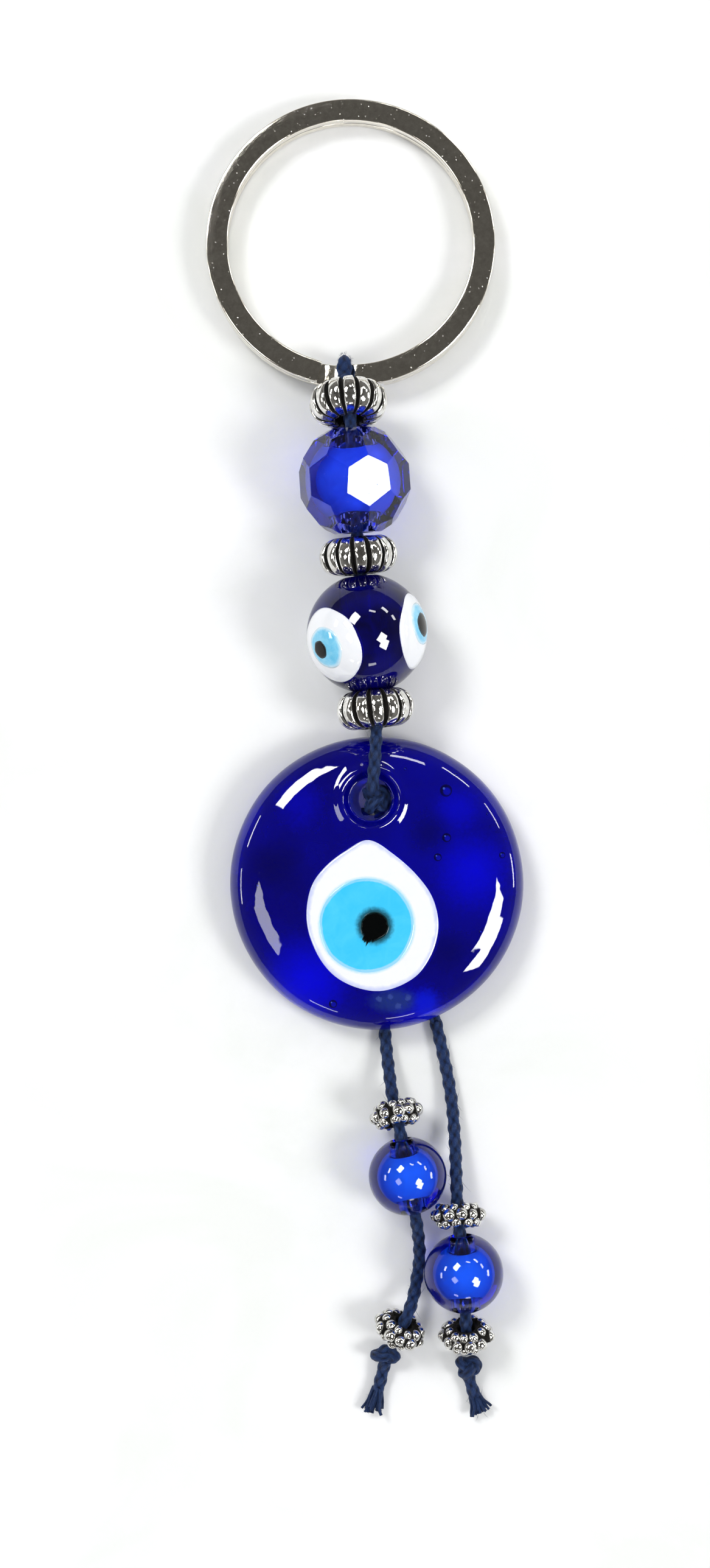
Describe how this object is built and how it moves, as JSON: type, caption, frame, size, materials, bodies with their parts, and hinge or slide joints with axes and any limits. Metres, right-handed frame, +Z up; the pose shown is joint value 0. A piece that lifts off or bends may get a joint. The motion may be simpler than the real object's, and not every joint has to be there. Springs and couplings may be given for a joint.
{
  "type": "evil eye ornament",
  "caption": "Glass evil eye disc with an inlaid eye, hung on a doubled cord strung with beads below a split key ring, with beaded cord tails.",
  "frame": {"origin": "on the table under the middle of the charm without its two tails", "axes": "+Y along the charm towards the key ring, +Z up from the table, +X to the right with the eye facing up"},
  "size_m": [0.0327, 0.1366, 0.0124],
  "materials": {
    "ring_steel": "bright nickel plate, lightly scratched and speckled",
    "antique_silver": "antique silver plate, polished high spots, blackened grooves",
    "waxed_cord": "navy waxed cotton braid, slightly fuzzy, satin",
    "clear_blue": "clear blue acrylic, polished",
    "bright_blue_core": "opaque bright blue, glossy",
    "cobalt_glass": "deep cobalt glass, fire polished, a few bubbles",
    "white_glass": "opaque white glass, glossy",
    "light_blue_glass": "opaque light blue glass, glossy",
    "black_glass": "opaque black glass, glossy"
  },
  "bodies": {
    "disc": {"disc_glass": "cobalt_glass", "disc_white": "white_glass", "disc_iris": "light_blue_glass", "disc_pupil": "black_glass", "hole_knot": "waxed_cord", "cord_behind_left": "waxed_cord", "cord_behind_right": "waxed_cord"},
    "neck_cord": {"cord_front_strand": "waxed_cord", "cord_back_strand": "waxed_cord"},
    "stem_cord": {"cord_stem_front": "waxed_cord", "cord_stem_back": "waxed_cord"},
    "rondelle_bottom": {"rondelle_bottom": "antique_silver"},
    "eye_bead": {"eye_bead_glass": "cobalt_glass", "bead_eye_1_white": "white_glass", "bead_eye_1_iris": "light_blue_glass", "bead_eye_1_pupil": "black_glass", "bead_eye_2_white": "white_glass", "bead_eye_2_iris": "light_blue_glass", "bead_eye_2_pupil": "black_glass", "bead_eye_3_white": "white_glass", "bead_eye_3_iris": "light_blue_glass", "bead_eye_3_pupil": "black_glass"},
    "rondelle_middle": {"rondelle_middle": "antique_silver"},
    "faceted_bead": {"faceted_bead_shell": "clear_blue", "faceted_bead_core": "bright_blue_core"},
    "rondelle_top": {"rondelle_top": "antique_silver"},
    "ring_loop": {"cord_ring_loop": "waxed_cord"},
    "key_ring": {"key_ring": "ring_steel"},
    "left_tail": {"left_tail_cord": "waxed_cord", "left_end_knot": "waxed_cord", "left_frayed_end": "waxed_cord"},
    "left_spacer_upper": {"left_spacer_upper": "antique_silver"},
    "left_bead": {"left_bead_shell": "clear_blue", "left_bead_core": "bright_blue_core"},
    "left_spacer_lower": {"left_spacer_lower": "antique_silver"},
    "right_tail": {"right_tail_cord": "waxed_cord", "right_end_knot": "waxed_cord", "right_frayed_end": "waxed_cord"},
    "right_spacer_upper": {"right_spacer_upper": "antique_silver"},
    "right_bead": {"right_bead_shell": "clear_blue", "right_bead_core": "bright_blue_core"},
    "right_spacer_lower": {"right_spacer_lower": "antique_silver"}
  },
  "joints": [
    {"name": "disc_swing", "type": "hinge", "parent": "disc", "child": "neck_cord", "pos_m": [0.00069, -0.02408, 0.004], "axis": [0, 0, 1], "range_deg": [-12, 12]},
    {"name": "stem_fold", "type": "hinge", "parent": "neck_cord", "child": "stem_cord", "pos_m": [0.00125, -0.0171, 0.006], "axis": [1, 0, 0], "range_deg": [0, 60]},
    {"name": "ring_loop_fold", "type": "hinge", "parent": "stem_cord", "child": "ring_loop", "pos_m": [-0.00204, 0.0184, 0.00545], "axis": [1, 0, 0], "range_deg": [0, 90]},
    {"name": "key_ring_turn", "type": "hinge", "parent": "ring_loop", "child": "key_ring", "pos_m": [-0.00142, 0.03323, 0.0019], "axis": [0, 0.0366, 0.9993], "continuous": true},
    {"name": "rondelle_bottom_spin", "type": "hinge", "parent": "stem_cord", "child": "rondelle_bottom", "pos_m": [0.0011, -0.01485, 0.00612], "axis": [-0.1132, 0.9932, -0.0262], "continuous": true},
    {"name": "eye_bead_spin", "type": "hinge", "parent": "stem_cord", "child": "eye_bead", "pos_m": [0.0002, -0.00721, 0.0063], "axis": [-0.1097, 0.994, 0], "continuous": true},
    {"name": "rondelle_middle_spin", "type": "hinge", "parent": "stem_cord", "child": "rondelle_middle", "pos_m": [-0.00063, 0.00076, 0.00598], "axis": [-0.0871, 0.9956, 0.0349], "continuous": true},
    {"name": "faceted_bead_spin", "type": "hinge", "parent": "stem_cord", "child": "faceted_bead", "pos_m": [-0.00098, 0.00838, 0.00618], "axis": [-0.0662, 0.9964, 0.0523], "continuous": true},
    {"name": "rondelle_top_spin", "type": "hinge", "parent": "stem_cord", "child": "rondelle_top", "pos_m": [-0.00166, 0.01624, 0.0063], "axis": [-0.075, 0.9534, -0.2924], "continuous": true},
    {"name": "left_tail_swing", "type": "hinge", "parent": "disc", "child": "left_tail", "pos_m": [0.00212, -0.0479, 0.00072], "axis": [0, 0, 1], "range_deg": [-30, 0]},
    {"name": "right_tail_swing", "type": "hinge", "parent": "disc", "child": "right_tail", "pos_m": [0.0074, -0.0471, 0.00072], "axis": [0, 0, 1], "range_deg": [0, 30]},
    {"name": "left_spacer_slide", "type": "slide", "parent": "left_tail", "child": "left_spacer_upper", "axis": [-0.2033, 0.9455, -0.2542], "range_m": [0, 0.002]},
    {"name": "left_bead_spin", "type": "hinge", "parent": "left_tail", "child": "left_bead", "pos_m": [0.00446, -0.06278, 0.00407], "axis": [-0.1806, 0.9835, 0.01], "continuous": true},
    {"name": "left_spacer_lower_spin", "type": "hinge", "parent": "left_tail", "child": "left_spacer_lower", "pos_m": [0.00372, -0.07875, 0.00292], "axis": [0.4255, 0.8409, 0.3343], "continuous": true},
    {"name": "right_spacer_upper_spin", "type": "hinge", "parent": "right_tail", "child": "right_spacer_upper", "pos_m": [0.00962, -0.06686, 0.0037], "axis": [-0.0501, 0.9823, -0.1804], "continuous": true},
    {"name": "right_bead_spin", "type": "hinge", "parent": "right_tail", "child": "right_bead", "pos_m": [0.01022, -0.07275, 0.00417], "axis": [-0.0655, 0.9974, 0.0302], "continuous": true},
    {"name": "right_spacer_lower_spin", "type": "hinge", "parent": "right_tail", "child": "right_spacer_lower", "pos_m": [0.01055, -0.07924, 0.0032], "axis": [-0.0506, 0.9216, 0.3848], "continuous": true}
  ]
}
